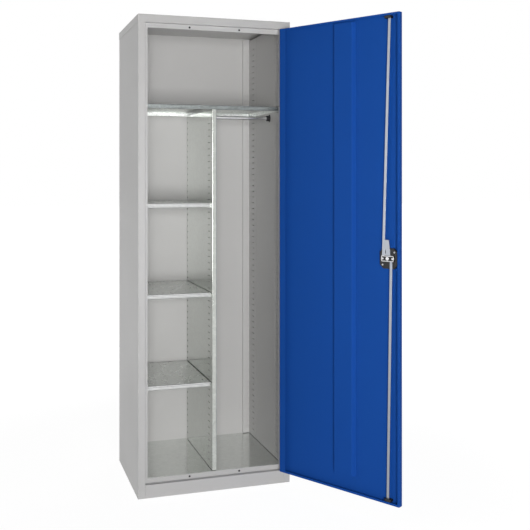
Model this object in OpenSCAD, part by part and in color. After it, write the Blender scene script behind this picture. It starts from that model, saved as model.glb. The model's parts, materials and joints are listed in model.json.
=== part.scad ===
// Steel wardrobe locker with one lockable door, half shelves on the left and
// a hanging space on the right. Millimetres, +Z up, the front faces -Y, and
// the origin is on the floor at the middle of the carcass.

/* [Carcass] */
// Overall width across the top cap
cabinet_w = 610; // [520:5:720]
// Overall depth across the top cap
cabinet_d = 457; // [400:1:520]
// Overall height from the floor to the top of the cap
cabinet_h = 1830; // [1700:5:1980]
// Thickness of the folded steel sheet
sheet = 1; // [0.8:0.1:1.4]
// Face width of each front stile
stile_w = 28; // [24:1:36]
// Height of the top cap's skirt
cap_h = 30; // [24:1:40]
// Height of the plinth
plinth_h = 50; // [40:1:70]
// Depth from the front of the stiles back to the door stops
rebate = 20; // [20:0.5:24]
// Width of the upright door stops inside the stiles
stop_w = 12; // [8:1:16]
// Height of the header stop, and of the step from plinth to floor
stop_h = 18; // [16:1:24]
// Width of the flange that the back panel is welded to
rear_flange_w = 20; // [14:1:30]
// Width of the slotted flange in each rear corner
corner_flange_w = 29; // [24:1:34]
// Distance of that flange in front of the back panel
corner_stand = 8; // [6:1:12]
// Gap between the side liners and the ceiling
liner_gap = 5; // [2:1:8]
// Thickness of the anchor plates in the base corners
gusset_t = 2; // [1.5:0.5:3]
// Leg length of the anchor plates
gusset_leg = 100; // [80:5:120]
// Distance of each floor anchor hole from the plate's two edges
anchor_inset = 35; // [25:1:40]
// Diameter of the floor anchor holes
anchor_d = 11; // [8:0.5:12]
// Width of the channel under the floor
bearer_w = 80; // [50:5:120]
// Height of that channel
bearer_h = 30; // [20:1:45]

/* [Slots] */
// Pitch of the shelf slots
slot_pitch = 25; // [20:1:32]
// Height of the lowest slot
first_slot_z = 100; // [90:1:120]
// Least distance of the slots below the top of the liners
slots_below = 30; // [20:1:60]
// Length of a slot in the side liners and at the divider's front
slot_l = 28; // [18:1:30]
// Length of a slot in the corner flanges
corner_slot_l = 12; // [8:1:14]
// Distance of those slots from the liner's face
corner_slot_in = 8.5; // [8:0.5:14]
// Length of a slot at the divider's rear
rear_slot_l = 9; // [7:0.5:14]
// Distance of the divider's rear slots in front of the corner flanges
divider_slot_in = 8.5; // [8:0.5:60]
// Height of a slot
slot_h = 4; // [3:0.5:5]
// Distance of the front slots behind the shelf fronts
front_slot_in = 34; // [24:1:50]
// Distance of the rear slots in front of the corner flanges
rear_slot_in = 57; // [30:1:60]

/* [Shelves] */
// Distance of the shelf fronts behind the front of the stiles
shelf_setback = 37.5; // [30:0.5:50]
// Height of the folded lip on every shelf
shelf_lip = 17; // [14:1:20]
// Width of the return flange under the front and rear lips
lip_return = 8; // [5:1:12]
// Height of the hat shelf's top face
hat_shelf_z = 1495; // [1450:1:1560]
// Slot that carries the lower half shelf, counted from 0
lower_slot = 12; // [8:1:16]
// Slot that carries the middle half shelf
middle_slot = 26; // [22:1:30]
// Slot that carries the upper half shelf
upper_slot = 40; // [36:1:44]
// Thickness of the divider, a box folded from sheet
divider_w = 18; // [14:1:24]
// Distance of the divider's face behind the front of the stiles
divider_setback = 22; // [22:0.5:28]
// Thickness of a shelf clip
clip_t = 1.5; // [1:0.25:2]
// Width of a shelf clip
clip_w = 20; // [14:1:22]
// Length of a clip's ledge under the shelf
clip_ledge = 9; // [7:0.5:12]
// Sideways gap between a half shelf and its clips
shelf_gap = 0.7; // [0.4:0.1:1.2]

/* [Hanging rail] */
// Outer diameter of the hanging rail
rail_d = 15; // [12:0.5:19]
// Wall of the hanging rail
rail_wall = 1.2; // [0.8:0.1:2]
// Height of the rail's centre line
rail_z = 1457; // [1400:1:1465]
// Distance of the rail behind the middle of the depth
rail_y = -60; // [-90:1:60]
// Flange diameter of the rail sockets
socket_d = 32; // [28:1:38]
// Depth of the rail sockets
socket_l = 14; // [10:1:20]
// Thickness of the socket's flange
socket_flange = 3; // [2:0.5:4]

/* [Door] */
// Gap between the door and the frame on every side
door_gap = 3; // [2.5:0.25:4]
// Depth of the folded door tray
door_t = 19; // [17:0.5:19.5]
// Width of the lip on the hinge side
hinge_lip = 28; // [20:1:34]
// Width of the lip on the other three sides
door_lip = 8; // [6:1:16]
// Angle that the door stands open at, as stored
rest_open = 120.6; // [90:0.1:150]
// Distance from the hinge axis to the middle of the stiffener
stiffener_at = 303; // [240:1:330]
// Width across the foot of the stiffener
stiffener_foot = 95; // [70:1:120]
// Width of the stiffener's face
stiffener_face = 79; // [50:1:100]
// Height of the stiffener above the door skin
stiffener_rise = 15; // [10:0.5:16]
// Distance from the door's foot up to the stiffener
stiffener_low = 60; // [30:1:90]
// Distance from the stiffener up to the door's head
stiffener_high = 12; // [6:1:30]
// Diameter of the rubber buffers
buffer_d = 8; // [6:0.5:9]
// Distance of the buffers from the middle of the door
buffer_at = 100; // [60:1:160]

/* [Hinges] */
// Outer diameter of the hinge barrels
barrel_d = 9; // [8.5:0.25:11]
// Diameter of the hinge pins
pin_d = 6; // [4.5:0.25:6.5]
// Length of one barrel
barrel_l = 30; // [20:1:45]
// Radial clearance of the running barrel on its pin
pin_play = 0.06; // [0.03:0.01:0.1]
// Thickness of the hinge leaves
leaf_t = 1.1; // [0.9:0.05:1.15]
// Depth of the leaves into the door gap
leaf_d = 14; // [8:1:16]
// Distance of the outer hinges from the ends of the door
hinge_inset = 170; // [120:5:260]

/* [Lock] */
// Height of the lock above the floor
lock_z = 924; // [860:1:1000]
// Distance of the lock from the door's free edge
lock_inset = 51; // [49:1:70]
// Width of the lock case behind the door
case_w = 73; // [60:1:80]
// Height of the lock case
case_h = 74; // [60:1:84]
// Thickness of the lock case
case_t = 8; // [6:0.5:8]
// Cut at each corner of the lock case
case_cut = 14; // [8:1:18]
// Diameter of the escutcheon on the front
rose_d = 62; // [50:1:70]
// Thickness of the escutcheon
rose_t = 4; // [3:0.5:6]
// Diameter of the turning knob
knob_d = 44; // [38:1:50]
// Height of the knob's round base
knob_t = 12; // [9:0.5:16]
// Height of the knob's grip bar
grip_h = 14; // [10:0.5:18]
// Width of the knob's grip bar
grip_w = 18; // [17:0.5:20]
// Diameter of the spindle
spindle_d = 14; // [12:0.5:16]
// Width across the square that drives the cam
square_w = 9; // [7:0.5:9.5]
// Diameter of the key plug
plug_d = 12; // [10:0.5:13]
// Distance of the cam's pins from the spindle, which is also the rods' travel
cam_r = 20; // [18:0.5:21]
// Thickness of the cam plate
cam_t = 2.5; // [2:0.25:3]
// Width of the cam plate
cam_w = 21; // [18:1:26]
// Diameter of the cam's pins
cam_pin_d = 6; // [5:0.25:7]
// Width of the flat locking rods
rod_w = 10; // [9:0.5:13]
// Thickness of the locking rods
rod_t = 3; // [2:0.25:3.5]
// Length of the widened plate at the upper rod's foot
rod_plate_l = 55; // [40:1:70]
// Width of that plate at its top
rod_plate_w = 27; // [20:1:29]
// Width of that plate at its foot
rod_plate_foot = 35; // [24:1:36]
// Distance from the upper pin up to that plate
rod_plate_up = 12; // [10:1:20]
// Sideways step of the lower rod below its pin
rod_step = 7; // [5:0.5:8]
// Distance of the rod guides from the door's free edge
guide_inset = 48.5; // [47:0.5:52]
// Side clearance of the rods in their guides
guide_room = 6; // [5.5:0.25:7]
// Clearance of the rods in their guides, front to back
guide_play = 0.75; // [0.4:0.05:0.9]
// Height of the rod guides
guide_h = 9; // [7:0.5:12]

/* [Hidden] */

$fn = 48;
body_grey = [0.74, 0.735, 0.73];
door_blue = [0.1, 0.24, 0.56];
zinc = [0.78, 0.79, 0.78];
black = [0.07, 0.07, 0.075];
steel = [0.6, 0.61, 0.63];

// carcass planes
side_x = cabinet_w / 2 - sheet;
front_y = -cabinet_d / 2 + sheet;
rear_y = cabinet_d / 2 - sheet;
ceiling_z = cabinet_h - sheet;
header_z = cabinet_h - cap_h;
open_x = side_x - stile_w;
stop_y = front_y + rebate;
floor_z = plinth_h + stop_h;
deck_z = floor_z + sheet;
plate_gap = 0.4;
back_y = rear_y - 2 * sheet;
corner_y = back_y - corner_stand;
lip_fold = 10;

// shelves and slots
shelf_front = front_y + shelf_setback;
shelf_back = corner_y - 3;
front_slot_y = shelf_front + front_slot_in;
rear_slot_y = corner_y - rear_slot_in;
slot_top = ceiling_z - liner_gap - slots_below;
slot_count = floor((slot_top - first_slot_z) / slot_pitch) + 1;
corner_slot_x = open_x - corner_slot_in;
seat_to_top = shelf_lip - 5;
divider_face = front_y + divider_setback;
divider_left = -divider_w / 2;
divider_right = divider_w / 2;
divider_slot_y = corner_y - divider_slot_in;
hat_seat = hat_shelf_z - shelf_lip;
rivet_d = 5;

// door planes, closed
door_right = open_x - door_gap;
door_w = 2 * door_right;
door_foot = plinth_h + door_gap;
door_head = header_z - door_gap;
door_h = door_head - door_foot;
axis_x = open_x - door_gap / 2;
axis_y = front_y - barrel_d / 2 - 0.3;
hinge_z = [door_foot + hinge_inset, (door_foot + door_head) / 2, door_head - hinge_inset];
buffer_t = rebate - door_t - 0.2;

// lock, closed
lock_x = -door_right + lock_inset;
rod_n = sheet + case_t + 1;
cam_n = rod_n + rod_t + 1;
rod_y = front_y + rod_n;
guide_n = door_t + 0.2;
guide_x = -door_right + guide_inset;
guide_upper = door_head - door_lip - 1;
guide_lower = door_foot + door_lip + 1;
aim_up = guide_x - 4.3;
aim_down = guide_x + 3;
lean_up = atan((lock_x + cam_r - aim_up) / (guide_upper - lock_z));
lean_down = atan((aim_down - lock_x + cam_r - rod_step) / (lock_z - guide_lower));
window = rod_w / 2 + guide_room;
cut = 0.5;

// a box given by two opposite corners
module slab(low, high) translate(low) cube([high.x - low.x, high.y - low.y, high.z - low.z]);

// a round bar along Y, from y0 to y1
module bar_y(d, x, z, y0, y1) translate([x, y0, z]) rotate([-90, 0, 0]) cylinder(d = d, h = y1 - y0);

// turns what is drawn on the closed door to where the open door stands
module on_door() translate([axis_x, axis_y, 0]) rotate([0, 0, rest_open])
    translate([-axis_x, -axis_y, 0]) children();

// right side, its stile, door stop and rear flange folded from one sheet
module side_panel() union() {
    slab([side_x - sheet, front_y, 0], [side_x, rear_y, ceiling_z]);
    slab([open_x, front_y, 0], [side_x, front_y + sheet, ceiling_z]);
    slab([open_x, front_y, gusset_t], [open_x + sheet, stop_y + sheet, ceiling_z]);
    slab([open_x - stop_w, stop_y, plinth_h], [open_x + sheet, stop_y + sheet, header_z]);
    slab([side_x - rear_flange_w, rear_y - sheet, 0], [side_x, rear_y, ceiling_z]);
}

module right_side_panel() color(body_grey) side_panel();

module left_side_panel() color(body_grey) mirror([1, 0, 0]) side_panel();

module back_panel() color(body_grey)
    slab([sheet - side_x, back_y, 0], [side_x - sheet, back_y + sheet, ceiling_z]);

// shallow tray upside down over the carcass
module top_panel() color(body_grey) difference() {
    slab([-side_x - sheet, front_y - sheet, header_z], [side_x + sheet, rear_y + sheet, cabinet_h]);
    slab([-side_x, front_y, header_z - cut], [side_x, rear_y, ceiling_z]);
}

// slots in the header and the plinth that the locking rods enter
module keeper_slot(z) slab([guide_x - window, rod_y - 2, z - cut],
    [guide_x + window, rod_y + rod_t + 2, z + sheet + cut]);

module buffer_holes(z) for (s = [-1, 1])
    bar_y(buffer_d * 0.6, s * buffer_at, z, stop_y - cut, stop_y + sheet + cut);

module header_rail() color(body_grey) difference() {
    union() {
        slab([-open_x, front_y, header_z], [open_x, front_y + sheet, ceiling_z]);
        slab([-open_x, front_y, header_z], [open_x, stop_y + sheet, header_z + sheet]);
        slab([stop_w - open_x, stop_y, header_z - stop_h], [open_x - stop_w, stop_y + sheet, header_z + sheet]);
        slab([stop_w - open_x, stop_y, header_z - stop_h],
            [open_x - stop_w, stop_y + lip_fold, header_z - stop_h + sheet]);
    }
    keeper_slot(header_z);
    buffer_holes(header_z - stop_h / 2);
}

module plinth_rail() color(body_grey) difference() {
    union() {
        slab([-open_x, front_y, 0], [open_x, front_y + sheet, plinth_h]);
        slab([-open_x, front_y, plinth_h - sheet], [open_x, stop_y + sheet, plinth_h]);
        slab([stop_w - open_x, stop_y, plinth_h - 20], [open_x - stop_w, stop_y + sheet, plinth_h]);
    }
    keeper_slot(plinth_h - sheet);
}

// floor tray; its front edge steps down to the plinth as the lower door stop
module floor_panel() color(body_grey) difference() {
    union() {
        slab([sheet - side_x, stop_y + sheet, floor_z - sheet], [side_x - sheet, back_y, floor_z]);
        slab([stop_w - open_x, stop_y, floor_z - sheet], [open_x - stop_w, stop_y + 2 * sheet, floor_z]);
        slab([stop_w - open_x, stop_y, plinth_h], [open_x - stop_w, stop_y + sheet, floor_z]);
        slab([sheet - side_x, back_y - sheet, floor_z - 20], [side_x - sheet, back_y, floor_z]);
        for (s = [-1, 1]) slab([s * (side_x - 1.5 * sheet) - sheet / 2, stop_y + sheet, floor_z - 20],
            [s * (side_x - 1.5 * sheet) + sheet / 2, back_y, floor_z]);
    }
    buffer_holes(plinth_h + stop_h / 2);
}

// galvanised sheet that lies on the floor between the liners
module base_plate() color(zinc)
    slab([plate_gap - open_x, stop_y + 2 * sheet + plate_gap, floor_z],
        [open_x - plate_gap, corner_y - plate_gap, deck_z]);

// channel from side to side that props the middle of the floor
module floor_bearer() color(zinc) difference() {
    slab([2 * sheet - side_x, -bearer_w / 2, floor_z - sheet - bearer_h],
        [side_x - 2 * sheet, bearer_w / 2, floor_z - sheet]);
    slab([-side_x, sheet - bearer_w / 2, floor_z - sheet - bearer_h - cut],
        [side_x, bearer_w / 2 - sheet, floor_z - 2 * sheet]);
}

// corner plates that tie the base and take the floor anchors
module anchor_plates() color(body_grey) {
    corner_x = side_x - sheet;
    for (mx = [0, 1], my = [0, 1]) mirror([mx, 0, 0]) {
        corner = my == 0 ? back_y : -front_y - sheet;
        mirror([0, my, 0]) difference() {
            linear_extrude(gusset_t) polygon([[corner_x, corner], [corner_x - gusset_leg, corner],
                [corner_x, corner - gusset_leg]]);
            translate([anchor_x, anchor_y, -cut]) cylinder(d = anchor_d, h = gusset_t + 2 * cut);
        }
    }
}
anchor_x = side_x - sheet - anchor_inset;
anchor_y = back_y - anchor_inset;

// a column of slots through a sheet that faces along X
module slot_column_x(x, y, l) for (k = [0:slot_count - 1])
    slab([x - cut, y - l / 2, first_slot_z + k * slot_pitch - slot_h / 2],
        [x + sheet + cut, y + l / 2, first_slot_z + k * slot_pitch + slot_h / 2]);

// a column of slots through a sheet that faces along Y
module slot_column_y(x, y) for (k = [0:slot_count - 1])
    slab([x - corner_slot_l / 2, y - cut, first_slot_z + k * slot_pitch - slot_h / 2],
        [x + corner_slot_l / 2, y + sheet + cut, first_slot_z + k * slot_pitch + slot_h / 2]);

// where the hat shelf is riveted to the liners
module at_rivets() for (y = [front_slot_y - 22, rear_slot_y + 22])
    translate([open_x, y, hat_seat + shelf_lip / 2 - 1]) rotate([0, 90, 0]) children();

// inner wall of the right side, slotted, with a slotted flange in the rear corner
module side_liner() difference() {
    top = ceiling_z - liner_gap;
    union() {
        slab([open_x, stop_y + sheet, floor_z], [open_x + sheet, corner_y + sheet, top]);
        slab([open_x - stop_w + 2, stop_y + sheet, floor_z], [open_x + sheet, stop_y + 2 * sheet, header_z - stop_h]);
        slab([open_x - corner_flange_w, corner_y, floor_z], [open_x + sheet, corner_y + sheet, top]);
        slab([open_x - corner_flange_w, corner_y, floor_z],
            [open_x - corner_flange_w + sheet, back_y, top]);
    }
    slot_column_x(open_x, front_slot_y, slot_l);
    slot_column_x(open_x, rear_slot_y, slot_l);
    slot_column_y(corner_slot_x, corner_y);
    at_rivets() translate([0, 0, -cut]) cylinder(d = rivet_d + 0.2, h = sheet + 2 * cut);
}

module right_side_liner() color(body_grey) difference() {
    side_liner();
    rail_screw_holes(open_x + sheet / 2);
}

module left_side_liner() color(body_grey) mirror([1, 0, 0]) side_liner();

// upright box between the half shelves and the hanging space, slotted on its left
module divider() color(zinc) difference() {
    slab([divider_left, divider_face, deck_z], [divider_right, back_y, hat_seat]);
    slab([divider_left + sheet, divider_face + sheet, deck_z + sheet],
        [divider_right - sheet, back_y - sheet, hat_seat - sheet]);
    intersection() {
        union() {
            slot_column_x(divider_left, front_slot_y, slot_l);
            slot_column_x(divider_left, divider_slot_y, rear_slot_l);
        }
        slab([divider_left - cut, front_y, 0], [divider_left + sheet + cut, rear_y, hat_seat - 12]);
    }
    rail_screw_holes(divider_right - sheet / 2);
}

// a tray with its lips turned down all round, given by its two ends and its top;
// the front and rear lips end in a return flange
module shelf_tray(x0, x1, top) difference() {
    slab([x0, shelf_front, top - shelf_lip], [x1, shelf_back, top]);
    slab([x0 + sheet, shelf_front + sheet, top - shelf_lip + sheet],
        [x1 - sheet, shelf_back - sheet, top - sheet]);
    slab([x0 + sheet, shelf_front + lip_return, top - shelf_lip - cut],
        [x1 - sheet, shelf_back - lip_return, top - sheet]);
}

module hat_shelf() color(zinc) difference() {
    shelf_tray(-open_x, open_x, hat_shelf_z);
    for (m = [0, 1]) mirror([m, 0, 0]) at_rivets()
        translate([0, 0, -sheet - cut]) cylinder(d = rivet_d + 0.2, h = sheet + 2 * cut);
}

module hat_shelf_rivets() color(steel) for (m = [0, 1]) mirror([m, 0, 0]) at_rivets() {
    translate([0, 0, -sheet - 1.6]) cylinder(d = 2 * rivet_d - 1, h = 1.6);
    translate([0, 0, -sheet - 0.8]) cylinder(d = rivet_d, h = 2 * sheet + 1.6);
    translate([0, 0, sheet]) cylinder(d = rivet_d + 2, h = 1.2);
}

function shelf_top(slot) = first_slot_z + slot * slot_pitch + seat_to_top;
half_left = clip_t + shelf_gap - open_x;
half_right = divider_left - clip_t - shelf_gap;

module upper_half_shelf() color(zinc) shelf_tray(half_left, half_right, shelf_top(upper_slot));

module middle_half_shelf() color(zinc) shelf_tray(half_left, half_right, shelf_top(middle_slot));

module lower_half_shelf() color(zinc) shelf_tray(half_left, half_right, shelf_top(lower_slot));

// one clip on a wall face at x = 0 that looks along +X; its hook goes through a slot of length l
module clip(l) {
    tongue_w = min(l - 2, 16);
    slab([0, -clip_w / 2, -7], [clip_t, clip_w / 2, 6]);
    slab([0, -clip_w / 2, -5 - clip_t], [clip_ledge, clip_w / 2, -5]);
    slab([-sheet - 4, -tongue_w / 2, -1.2], [clip_t, tongue_w / 2, clip_t - 1.2]);
    slab([-sheet - 4, -tongue_w / 2, -10], [clip_t - sheet - 4, tongue_w / 2, clip_t - 1.2]);
}

module shelf_clips() color(zinc) for (slot = [lower_slot, middle_slot, upper_slot])
    translate([0, 0, first_slot_z + slot * slot_pitch]) {
        for (y = [front_slot_y, rear_slot_y]) translate([-open_x, y, 0]) clip(slot_l);
        translate([divider_left, front_slot_y, 0]) mirror([1, 0, 0]) clip(slot_l);
        translate([divider_left, divider_slot_y, 0]) mirror([1, 0, 0]) clip(rear_slot_l);
    }

// hanging rail between the divider and the right liner
rail_x0 = divider_right + socket_flange + 0.5;
rail_x1 = open_x - socket_flange - 0.5;

module hanging_rail() color(zinc) translate([rail_x0, rail_y, rail_z]) rotate([0, 90, 0]) difference() {
    cylinder(d = rail_d, h = rail_x1 - rail_x0);
    translate([0, 0, -cut]) cylinder(d = rail_d - 2 * rail_wall, h = rail_x1 - rail_x0 + 2 * cut);
}

// one socket on a wall face at x = 0 that looks along +X
module socket() rotate([0, 90, 0]) difference() {
    union() {
        cylinder(d = socket_d, h = socket_flange);
        cylinder(d = rail_d + 7, h = socket_l);
    }
    translate([0, 0, socket_flange]) cylinder(d = rail_d + 0.3, h = socket_l);
    for (s = [-1, 1]) translate([s * socket_screw_at, 0, -cut])
        cylinder(d = 3.4, h = socket_flange + 2 * cut);
}
socket_screw_at = (rail_d + socket_d + 7) / 4;

module at_sockets() {
    translate([divider_right, rail_y, rail_z]) children();
    translate([open_x, rail_y, rail_z]) mirror([1, 0, 0]) children();
}

module rail_sockets() color(black) at_sockets() socket();

module rail_screw_holes(x) for (s = [-1, 1])
    translate([x - sheet, rail_y, rail_z + s * socket_screw_at]) rotate([0, 90, 0])
        cylinder(d = 3.2, h = 2 * sheet);

module rail_screws() color(steel) at_sockets() for (s = [-1, 1])
    translate([0, 0, s * socket_screw_at]) rotate([0, 90, 0]) {
        translate([0, 0, -sheet - 3]) cylinder(d = 3, h = socket_flange + sheet + 3.4);
        translate([0, 0, socket_flange]) cylinder(d = 5, h = 1.2);
    }

// rubber buttons that the closed door meets
module door_buffers() color(black) for (s = [-1, 1], z = [plinth_h + stop_h / 2, header_z - stop_h / 2]) {
    bar_y(buffer_d, s * buffer_at, z, stop_y - buffer_t, stop_y);
    bar_y(buffer_d * 0.58, s * buffer_at, z, stop_y - 0.1, stop_y + sheet + 0.1);
    bar_y(buffer_d * 0.85, s * buffer_at, z, stop_y + sheet, stop_y + sheet + 2);
}

// one hinge half: a barrel and the leaf that runs back into the door gap on the side s
module hinge_half(z, s, bore) difference() {
    face = door_gap / 2;
    union() {
        translate([axis_x, axis_y, z]) cylinder(d = barrel_d, h = barrel_l);
        slab([axis_x + min(s * face, s * (face - leaf_t)), axis_y + pin_d / 2 + 0.2, z],
            [axis_x + max(s * face, s * (face - leaf_t)), front_y + leaf_d, z + barrel_l]);
    }
    translate([axis_x, axis_y, z - cut]) cylinder(d = bore, h = barrel_l + 2 * cut);
}

module hinge_frame_leaves() color(body_grey) for (z = hinge_z)
    hinge_half(z - barrel_l, 1, pin_d + 0.04);

module hinge_pins() color(steel) for (z = hinge_z) translate([axis_x, axis_y, z - barrel_l]) {
    cylinder(d = pin_d, h = 2 * barrel_l - 2);
    translate([0, 0, -1.5]) cylinder(d = pin_d + 1.5, h = 1.5);
}

module hinge_door_leaves() color(door_blue) on_door() for (z = hinge_z)
    hinge_half(z + 0.3, -1, pin_d + 2 * pin_play);

// slot in the door's head and foot that a locking rod passes
module rod_window(z0, z1, n_play) slab([guide_x - window, rod_y - n_play, z0],
    [guide_x + window, rod_y + rod_t + n_play, z1]);

// door tray, folded back on all four sides and lipped
module door_panel() color(door_blue) on_door() difference() {
    slab([-door_right, front_y, door_foot], [door_right, front_y + door_t, door_head]);
    slab([sheet - door_right, front_y + sheet, door_foot + sheet],
        [door_right - sheet, front_y + door_t - sheet, door_head - sheet]);
    slab([door_lip - door_right, front_y + sheet, door_foot + door_lip],
        [door_right - hinge_lip, front_y + door_t + cut, door_head - door_lip]);
    rod_window(door_head - sheet - cut, door_head + cut, 2);
    rod_window(door_foot - cut, door_foot + sheet + cut, 2);
    bar_y(spindle_d + 6, lock_x, lock_z, front_y - cut, front_y + sheet + cut);
    case_screw_holes(front_y - cut, front_y + sheet + cut);
}

// shallow channel with sloping sides, welded to the inside of the door skin
module door_stiffener() color(door_blue) on_door() {
    middle = axis_x - stiffener_at;
    foot = stiffener_foot / 2;
    face = stiffener_face / 2;
    flange = 8;
    base = front_y + sheet;
    rise = stiffener_rise;
    slope = (foot - face) / rise;
    translate([middle, base, door_foot + stiffener_low])
        linear_extrude(door_h - stiffener_low - stiffener_high) polygon([
            [-foot - flange, 0], [sheet - foot, 0], [sheet - face, rise - sheet], [face - sheet, rise - sheet],
            [foot - sheet, 0], [foot + flange, 0], [foot + flange, sheet], [foot - slope * sheet, sheet],
            [face, rise], [-face, rise], [slope * sheet - foot, sheet], [-foot - flange, sheet]]);
}

// a plate of size w by h with cut corners, from depth n0 to n1 behind the door's face
module cut_plate(w, h, c, n0, n1) translate([lock_x, front_y + n1, lock_z]) rotate([90, 0, 0])
    linear_extrude(n1 - n0) polygon([[w / 2, h / 2 - c], [w / 2 - c, h / 2], [c - w / 2, h / 2],
        [-w / 2, h / 2 - c], [-w / 2, c - h / 2], [c - w / 2, -h / 2], [w / 2 - c, -h / 2], [w / 2, c - h / 2]]);

// round bar on the lock's axis between two depths behind the door's face
module lock_bar(d, n0, n1) bar_y(d, lock_x, lock_z, front_y + n0, front_y + n1);

case_screw_x = case_w / 2 - 12;
case_screw_z = case_h / 2 - 14;

module case_screw_holes(y0, y1) for (s = [-1, 1])
    bar_y(3.6, lock_x + s * case_screw_x, lock_z - s * case_screw_z, y0, y1);

module lock_case() color(black) on_door() difference() {
    cut_plate(case_w, case_h, case_cut, sheet, sheet + case_t);
    lock_bar(spindle_d + 0.12, 0, sheet + case_t + cut);
    case_screw_holes(front_y, front_y + sheet + case_t + cut);
}

module lock_rose() color(black) on_door() difference() {
    lock_bar(rose_d, -rose_t, 0);
    lock_bar(spindle_d + 1, -rose_t - cut, cut);
    case_screw_holes(front_y - rose_t / 2, front_y + cut);
}

// two screws from the back of the case into the escutcheon
module case_screws() color(steel) on_door() for (s = [-1, 1]) {
    x = lock_x + s * case_screw_x;
    z = lock_z - s * case_screw_z;
    bar_y(3.4, x, z, front_y - rose_t / 2, front_y + sheet + case_t + 0.1);
    bar_y(6, x, z, front_y + sheet + case_t, front_y + sheet + case_t + 0.9);
}

// black plastic blocks that keep the rods to the door's head and foot
module rod_guide(z0) difference() {
    slab([guide_x - window - 1.5, front_y + sheet, z0],
        [guide_x + window + 1.5, front_y + guide_n, z0 + guide_h]);
    rod_window(z0 - cut, z0 + guide_h + cut, guide_play);
}

module upper_rod_guide() color(black) on_door() rod_guide(guide_upper - guide_h);

module lower_rod_guide() color(black) on_door() rod_guide(guide_lower);

// knob with a grip bar, outside the door; the key plug sits in its middle
knob_back = -rose_t - 0.3;
knob_face = knob_back - knob_t;
grip_face = knob_face - grip_h;

module turning_knob() color(black) on_door() difference() {
    union() {
        lock_bar(knob_d, knob_face, knob_back);
        intersection() {
            lock_bar(knob_d + 4, grip_face, knob_back);
            slab([lock_x - knob_d, front_y + grip_face, lock_z - grip_w / 2],
                [lock_x + knob_d, front_y + knob_face + cut, lock_z + grip_w / 2]);
        }
    }
    lock_bar(plug_d + 0.14, grip_face - cut, knob_face + 4);
    lock_bar(spindle_d - 4 + 0.1, knob_face + 5, knob_back + cut);
}

module spindle() color(steel) on_door() difference() {
    union() {
        lock_bar(spindle_d - 4, knob_face + 5.05, knob_back + cut);
        lock_bar(spindle_d, knob_back + 0.05, sheet + case_t + 0.3);
        slab([lock_x - square_w / 2, front_y + sheet + case_t, lock_z - square_w / 2],
            [lock_x + square_w / 2, front_y + cam_n + cam_t, lock_z + square_w / 2]);
    }
    lock_bar(4.1, cam_n - 6, cam_n + cam_t + cut);
}

// flat cam with a pin for each rod, as it stands with the rods drawn in
module cam_plate() color(steel) on_door() difference() {
    intersection() {
        lock_bar(2 * cam_r + cam_pin_d + 6, cam_n, cam_n + cam_t);
        slab([lock_x - 2 * cam_r, front_y + cam_n - cut, lock_z - cam_w / 2],
            [lock_x + 2 * cam_r, front_y + cam_n + cam_t + cut, lock_z + cam_w / 2]);
    }
    slab([lock_x - square_w / 2 - 0.05, front_y, lock_z - square_w / 2 - 0.05],
        [lock_x + square_w / 2 + 0.05, stop_y, lock_z + square_w / 2 + 0.05]);
    for (s = [-1, 1]) bar_y(cam_pin_d - 1, lock_x + s * cam_r, lock_z, front_y, stop_y);
}

module cam_pins() color(steel) on_door() for (s = [-1, 1]) {
    x = lock_x + s * cam_r;
    bar_y(cam_pin_d, x, lock_z, front_y + rod_n - 0.6, front_y + cam_n);
    bar_y(cam_pin_d - 1.04, x, lock_z, front_y + cam_n - 0.1, front_y + cam_n + cam_t + 0.1);
    bar_y(cam_pin_d + 2, x, lock_z, front_y + cam_n + cam_t, front_y + cam_n + cam_t + 1.2);
}

module cam_screw() color(steel) on_door() {
    lock_bar(4, cam_n - 5, cam_n + cam_t + 0.1);
    lock_bar(square_w + 3, cam_n + cam_t, cam_n + cam_t + 1.4);
}

module key_plug() color(steel) on_door() difference() {
    lock_bar(plug_d, grip_face + 0.2, knob_face + 3.8);
    slab([lock_x - 0.8, front_y + grip_face - cut, lock_z - 3.5],
        [lock_x + 0.8, front_y + grip_face + 9, lock_z + 3.5]);
}

// a locking rod, drawn from its pin at the origin along +Z to a length l
module rod_bore() bar_y(cam_pin_d + 2 * pin_play, 0, 0, -cut, rod_t + cut);

module upper_rod_blank(l) difference() {
    union() {
        slab([-rod_w / 2, 0, 0], [rod_w / 2, rod_t, l]);
        bar_y(2 * eye_r, 0, 0, 0, rod_t);
        translate([rod_w / 2, rod_t, rod_plate_up]) rotate([90, 0, 0]) linear_extrude(rod_t)
            polygon([[0, 0], [0, rod_plate_l], [-rod_plate_w, rod_plate_l], [-rod_plate_foot, 0]]);
    }
    rod_bore();
    slab([-10.5, -cut, rod_plate_up + 5], [-7.5, rod_t + cut, rod_plate_up + 20]);
}

module lower_rod_blank(l) difference() {
    union() {
        bar_y(2 * eye_r, 0, 0, 0, rod_t);
        translate([0, rod_t, 0]) rotate([90, 0, 0]) linear_extrude(rod_t)
            polygon([[-eye_r, 0], [eye_r, 0], [rod_step + rod_w / 2, 10], [rod_step + rod_w / 2, l],
                [rod_step - rod_w / 2, l], [rod_step - rod_w / 2, 10]]);
    }
    rod_bore();
}

eye_r = rod_w / 2 + 0.5;
rod_up_l = (door_head - 1.5 - lock_z) / cos(lean_up);
rod_down_l = (lock_z - door_foot - 1.5) / cos(lean_down);

module upper_rod() color(zinc) on_door() translate([lock_x + cam_r, rod_y, lock_z])
    rotate([0, -lean_up, 0]) upper_rod_blank(rod_up_l);

module lower_rod() color(zinc) on_door() translate([lock_x - cam_r, rod_y, lock_z])
    rotate([0, 180 - lean_down, 0]) mirror([1, 0, 0]) lower_rod_blank(rod_down_l);

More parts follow.
